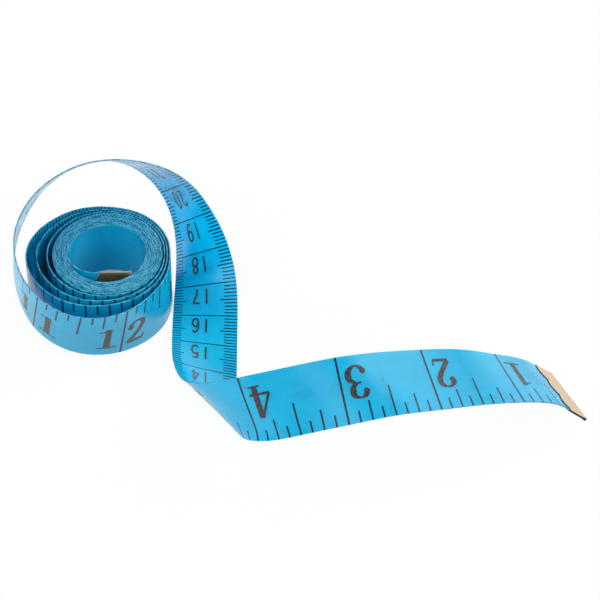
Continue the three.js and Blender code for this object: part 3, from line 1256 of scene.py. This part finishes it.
@dataclass
class TapeMeasure:
    """The whole part: the strip in its stretches, and the two clips."""

    finishes: Finishes = field(default_factory=Finishes)
    bend_reach: float = 9 * MM
    pack_reach: float = 12 * MM
    cuts: tuple[float, ...] = (38 * MM, 63.5 * MM, 96 * MM, 140 * MM)
    fold_bend: tuple[float, float] = (128.5 * MM, 108.5 * MM)
    junction: float = np.radians(60)

    def stretches(self, strip: RuledStrip, loose_end: float, route: TapeRoute) -> list[TapeStretch]:
        """The strip's stretches in order from its free end.

        Args:
            strip: the whole strip.
            loose_end: length at which the loose turns end.
            route: the strip's route round the coil's axis.

        Returns:
            The stretches.
        """
        links = ("run_end", "run_outer", "run_middle", "run_base")
        edges = (0.0, *self.cuts)
        made = []
        for order in range(3):
            line = (order + 1) * TAPE.inch - TAPE.scale_start
            bend = (strip.middle(line - self.bend_reach), strip.middle(line + self.bend_reach))
            made.append(TapeStretch(f"tape_inch_{order + 1}", edges[order], edges[order + 1],
                                    links[order:order + 2], (links[order],), bend))
        fold = tuple(strip.middle(run) for run in self.fold_bend)
        across = self.junction * route.tight_radius
        joined, parted = loose_end - across, loose_end + across
        x, y = route.centre
        onto = tuple((x, y + reach, TAPE.width / 2) for reach in (-self.pack_reach, self.pack_reach))
        made += [
            TapeStretch("tape_fold", edges[3], edges[4], ("loose_coil", "run_base"), ("run_base",), fold,
                        columns=17),
            TapeStretch("tape_loop_and_loose_turns", edges[4], joined, ("loose_coil",),
                        ("lying_stretch", "rising_loop", "loose_turns")),
            TapeStretch("tape_turn_into_pack", joined, parted, ("loose_coil", "coil_core"), (), onto,
                        figures=False, columns=3),
            TapeStretch("tape_tight_turns", parted, float(strip.middle_run[-1]), ("coil_core",),
                        ("wound_pack", "inner_end"), figures=False, columns=3),
        ]
        for before, after in zip(made, made[1:]):
            before.rests_on = (after.name,)
        return made

    def build(self) -> None:
        """Works out the strip and makes every piece."""
        route = TapeRoute(node_middle("wound_pack"))
        strip, loose_end = route.whole()
        for stretch in self.stretches(strip, loose_end, route):
            stretch.build(strip, self.finishes)
        length = float(strip.middle_run[-1])
        ends = strip.at(np.array([0.0, route.clip_depth, length - route.clip_depth, length]))
        rulings = np.stack([ends.plain, ends.ticked], axis=1)
        EndClip("free_end_clip_sheet", "run_end", "free_end_clip", "free_clip").build(
            rulings[0], rulings[1], self.finishes.free_clip)
        EndClip("inner_end_clip_sheet", "coil_core", "inner_end_clip", "inner_clip",
                length=8.4 * MM, overhang=0.2 * MM).build(rulings[3], rulings[2], self.finishes.inner_clip)


@dataclass(frozen=True)
class SoftBox:
    """A large soft lamp: where it stands, its brightness next to white, and its side."""

    name: str
    place: Place
    brightness: float
    side: float = 0.5


@dataclass
class Studio:
    """Pale floor, soft light and the camera."""

    elevation: float = np.radians(49.37)
    distance: float = 0.9
    lens: float = 203.6
    sensor: float = 36.0
    nearest: float = 0.05
    furthest: float = 20.0
    aim_height: float = 18 * MM  # on the coil's axis
    shift_right: float = 50.8 * MM
    shift_up: float = -12.47 * MM
    floor_side: float = 4.0
    floor_drop: float = 0.05 * MM  # keeps the floor clear of the edges that stand on it
    floor_paper: Colour = (0.9, 0.9, 0.9)
    floor_white: float = 0.95
    shade_edge: float = 0.95  # the floor inside this share of the loose turns has no glow of its own
    ambient: float = 0.3
    lamps: tuple[SoftBox, ...] = (
        SoftBox("softbox_left_low", (-0.756, 0.321, 0.22), 3.3),
        SoftBox("softbox_front_left", (-0.581, -0.247, 0.569), 2.6),
        SoftBox("softbox_above_left", (-0.206, -0.206, 0.799), 1.1),
        SoftBox("softbox_front", (0.247, -0.581, 0.569), 1.85),
        SoftBox("softbox_front_right", (0.586, -0.237, 0.569), 1.45),
        SoftBox("softbox_right", (0.586, 0.237, 0.569), 2.1),
        SoftBox("softbox_right_low", (0.761, 0.308, 0.22), 1.75),
        SoftBox("softbox_back_low", (0.321, 0.756, 0.22), 1.5),
    )

    def stand(self, name: str, data: bpy.types.ID, place: Array, right: Array, up: Array) -> Piece:
        """Puts a camera or a lamp into the scene. Its back is the cross product of its right and its up.

        Args:
            name, data: its name, and what it is.
            place: where it stands.
            right, up: directions of its own sides.

        Returns:
            The object.
        """
        made = bpy.data.objects.new(name, data)
        pose = np.eye(4)
        pose[:3, :4] = np.stack([right, up, np.cross(right, up), place], axis=1)
        made.matrix_world = Matrix(pose.tolist())
        bpy.context.scene.collection.objects.link(made)
        return made

    def camera(self) -> None:
        """Sets up the camera: it looks along +Y and down at the coil's axis, and is then shifted aside."""
        right = np.array([1.0, 0.0, 0.0])
        up = np.array([0.0, np.sin(self.elevation), np.cos(self.elevation)])
        ahead = np.array([0.0, np.cos(self.elevation), -np.sin(self.elevation)])
        aim = np.array([*node_middle("wound_pack"), self.aim_height])
        place = aim - self.distance * ahead + self.shift_right * right + self.shift_up * up
        data = bpy.data.cameras.new("camera")
        data.lens, data.sensor_width = self.lens, self.sensor
        data.clip_start, data.clip_end = self.nearest, self.furthest
        bpy.context.scene.camera = self.stand("camera", data, place, right, up)

    def world(self) -> None:
        """Plain soft light from all round."""
        world = bpy.data.worlds.new("studio_world")
        bpy.context.scene.world = world
        world.use_nodes = True
        background = world.node_tree.nodes["Background"]
        background.inputs["Color"].default_value = (1, 1, 1, 1)
        background.inputs["Strength"].default_value = self.ambient

    def floor(self) -> None:
        """A flat pale floor, mostly white by itself where it is seen, so that only a soft shadow shows.

        Its glow is for rays from the camera, a mirror or glass. It starts at the edge of an ellipse round
        the loose turns, so that the floor under the coil is only lit.
        """
        low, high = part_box("loose_turns")
        middle, reach = (low + high) / 2, (high - low) / 2
        sheet = NodeSheet("pale_floor", "MixShader")
        from_turns = sheet.node("Mapping", {
            "Vector": sheet.object_place(),
            "Location": (middle.x, middle.y, 0),
            "Scale": (reach.x, reach.y, 1),
        }, vector_type="TEXTURE").outputs[0]
        clear = sheet.node("MapRange", {
            "Value": sheet.node("VectorMath", {0: from_turns}, operation="LENGTH").outputs["Value"],
            "From Min": self.shade_edge, "From Max": 2 - self.shade_edge, "To Max": self.floor_white,
        }).outputs[0]
        ray = sheet.node("LightPath", {}).outputs
        seen = sheet.math("MAXIMUM", ray["Is Camera Ray"], ray["Is Glossy Ray"])
        seen = sheet.math("MAXIMUM", seen, ray["Is Transmission Ray"])
        paper = sheet.node("BsdfDiffuse", {"Color": self.floor_paper}).outputs[0]
        glow = sheet.node("Emission", {}).outputs[0]
        for socket, value in zip(sheet.shader.inputs, (sheet.math("MULTIPLY", seen, clear), paper, glow)):
            sheet.feed(socket, value)
        half = self.floor_side / 2
        corners = np.array([(x, y, -self.floor_drop) for x in (-half, half) for y in (-half, half)])
        mesh = smooth_mesh("floor", corners, grid_quads(2, 2), np.zeros(1), [sheet.material])
        place_mesh(mesh)

    def light(self) -> None:
        """Hangs the lamps, each turned to the object. Their power is brightness times area times pi."""
        for lamp in self.lamps:
            data = bpy.data.lights.new(lamp.name, "AREA")
            data.size = lamp.side
            data.energy = lamp.brightness * lamp.side**2 * np.pi
            place = np.array(lamp.place)
            right = unit(np.cross([0, 0, 1], place))
            self.stand(lamp.name, data, place, right, np.cross(unit(place), right))

    def build(self) -> None:
        """Makes the whole studio."""
        self.camera()
        self.world()
        self.floor()
        self.light()
        bpy.context.scene.view_settings.view_transform = "Standard"


def main() -> None:
    """Builds the studio and the tape measure."""
    logging.basicConfig(level=logging.INFO, format="%(message)s")
    Studio().build()
    TapeMeasure().build()


if __name__ == "__main__":
    main()
